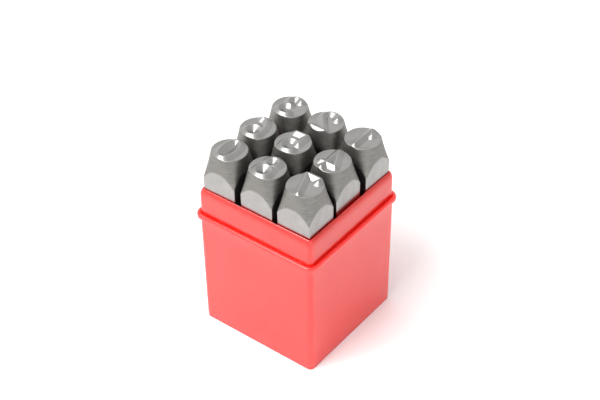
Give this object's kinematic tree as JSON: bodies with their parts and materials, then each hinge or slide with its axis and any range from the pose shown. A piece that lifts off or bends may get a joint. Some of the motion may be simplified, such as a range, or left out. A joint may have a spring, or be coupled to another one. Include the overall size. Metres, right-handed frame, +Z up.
{
  "type": "number punch set",
  "caption": "Square steel number punches with mirrored relief digits, standing face up in an open moulded plastic case with a bead and an inset collar.",
  "frame": {"origin": "centre of the case's underside, on the surface it stands on", "axes": "+Z up along the punches; +Y the way the digits stand up; +X to the right seen from above"},
  "size_m": [0.0546, 0.0546, 0.0804],
  "materials": {
    "red_plastic": "satin injection-moulded plastic, slightly translucent",
    "tool_steel": "ground bright steel, satin"
  },
  "bodies": {
    "case": {"case_body": "red_plastic"},
    "number_0": {"punch_0": "tool_steel"},
    "number_1": {"punch_1": "tool_steel"},
    "number_2": {"punch_2": "tool_steel"},
    "number_3": {"punch_3": "tool_steel"},
    "number_4": {"punch_4": "tool_steel"},
    "number_5": {"punch_5": "tool_steel"},
    "number_6": {"punch_6": "tool_steel"},
    "number_7": {"punch_7": "tool_steel"},
    "number_8": {"punch_8": "tool_steel"}
  },
  "joints": [
    {"name": "lift_0", "type": "slide", "parent": "case", "child": "number_0", "axis": [0, 0, 1], "range_m": [0, 0.066]},
    {"name": "lift_1", "type": "slide", "parent": "case", "child": "number_1", "axis": [0, 0, 1], "range_m": [0, 0.066]},
    {"name": "lift_2", "type": "slide", "parent": "case", "child": "number_2", "axis": [0, 0, 1], "range_m": [0, 0.066]},
    {"name": "lift_3", "type": "slide", "parent": "case", "child": "number_3", "axis": [0, 0, 1], "range_m": [0, 0.066]},
    {"name": "lift_4", "type": "slide", "parent": "case", "child": "number_4", "axis": [0, 0, 1], "range_m": [0, 0.066]},
    {"name": "lift_5", "type": "slide", "parent": "case", "child": "number_5", "axis": [0, 0, 1], "range_m": [0, 0.066]},
    {"name": "lift_6", "type": "slide", "parent": "case", "child": "number_6", "axis": [0, 0, 1], "range_m": [0, 0.066]},
    {"name": "lift_7", "type": "slide", "parent": "case", "child": "number_7", "axis": [0, 0, 1], "range_m": [0, 0.066]},
    {"name": "lift_8", "type": "slide", "parent": "case", "child": "number_8", "axis": [0, 0, 1], "range_m": [0, 0.066]}
  ]
}
